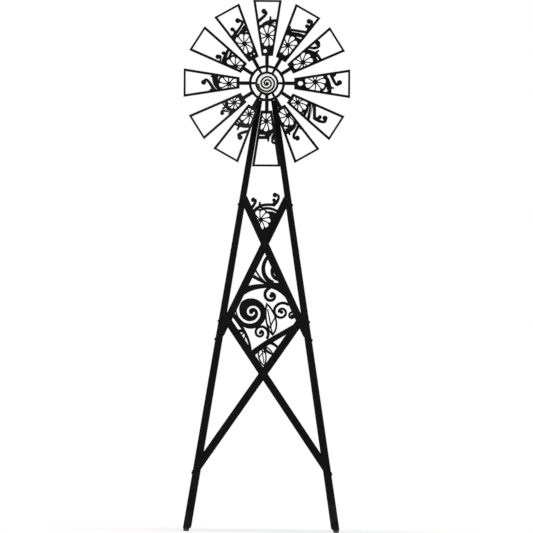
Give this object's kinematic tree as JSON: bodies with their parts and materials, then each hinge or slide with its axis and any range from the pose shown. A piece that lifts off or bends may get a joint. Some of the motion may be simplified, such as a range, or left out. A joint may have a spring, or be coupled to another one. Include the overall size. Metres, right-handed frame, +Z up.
{
  "type": "garden windmill",
  "caption": "Tall ornamental steel garden windmill: braced tapering tower with cut scrollwork panels, and a swivelling head with a pitched openwork wheel and tail vane.",
  "frame": {"origin": "on the ground under the middle of the tower", "axes": "+Z up, -Y to the front, the way the wheel faces, +X to the right in the front view"},
  "size_m": [0.7652, 0.722, 2.4396],
  "materials": {
    "black_paint": "satin",
    "pale_paint": "satin",
    "bronze": "plain",
    "rubber": "matte"
  },
  "bodies": {
    "tower": {"leg_front_right": "black_paint", "leg_back_right": "black_paint", "leg_back_left": "black_paint", "leg_front_left": "black_paint", "front_brace_upper_outer": "black_paint", "front_brace_upper_inner": "black_paint", "front_brace_lower_outer": "black_paint", "front_brace_lower_inner": "black_paint", "right_brace_upper_outer": "black_paint", "right_brace_upper_inner": "black_paint", "right_brace_lower_outer": "black_paint", "right_brace_lower_inner": "black_paint", "back_brace_upper_outer": "black_paint", "back_brace_upper_inner": "black_paint", "back_brace_lower_outer": "black_paint", "back_brace_lower_inner": "black_paint", "left_brace_upper_outer": "black_paint", "left_brace_upper_inner": "black_paint", "left_brace_lower_outer": "black_paint", "left_brace_lower_inner": "black_paint", "upper_scroll_panel": "black_paint", "lower_scroll_panel": "black_paint", "crossing_washers": "black_paint", "tower_bolts": "black_paint", "tower_nuts": "black_paint", "tower_cap": "black_paint", "swivel_spindle": "black_paint", "spindle_screws": "black_paint", "feet": "rubber"},
    "head": {"swivel_head": "black_paint", "swivel_bushes": "bronze", "thrust_pad": "bronze", "axle_bushes": "bronze", "tail_boom": "black_paint", "tail_vane": "black_paint", "tail_bolts": "black_paint"},
    "wheel": {"axle": "black_paint", "axle_collar": "black_paint", "axle_nut": "black_paint", "hub": "black_paint", "hub_cap": "pale_paint", "hub_rim": "black_paint", "hub_scroll": "black_paint", "hub_screws": "black_paint", "wheel_ring": "black_paint", "wheel_arms": "black_paint", "ring_rivets": "black_paint", "blade_bolts": "black_paint", "blade_12": "black_paint", "blade_1": "black_paint", "blade_2": "black_paint", "blade_3": "black_paint", "blade_4": "black_paint", "blade_5": "black_paint", "blade_6": "black_paint", "blade_7": "black_paint", "blade_8": "black_paint", "blade_9": "black_paint", "blade_10": "black_paint", "blade_11": "black_paint"}
  },
  "joints": [
    {"name": "head_yaw", "type": "hinge", "parent": "tower", "child": "head", "pos_m": [0, 0, 1.976], "axis": [0, 0, 1], "continuous": true},
    {"name": "wheel_spin", "type": "hinge", "parent": "head", "child": "wheel", "pos_m": [0, -0.185, 2.057], "axis": [0, -1, 0], "continuous": true}
  ]
}
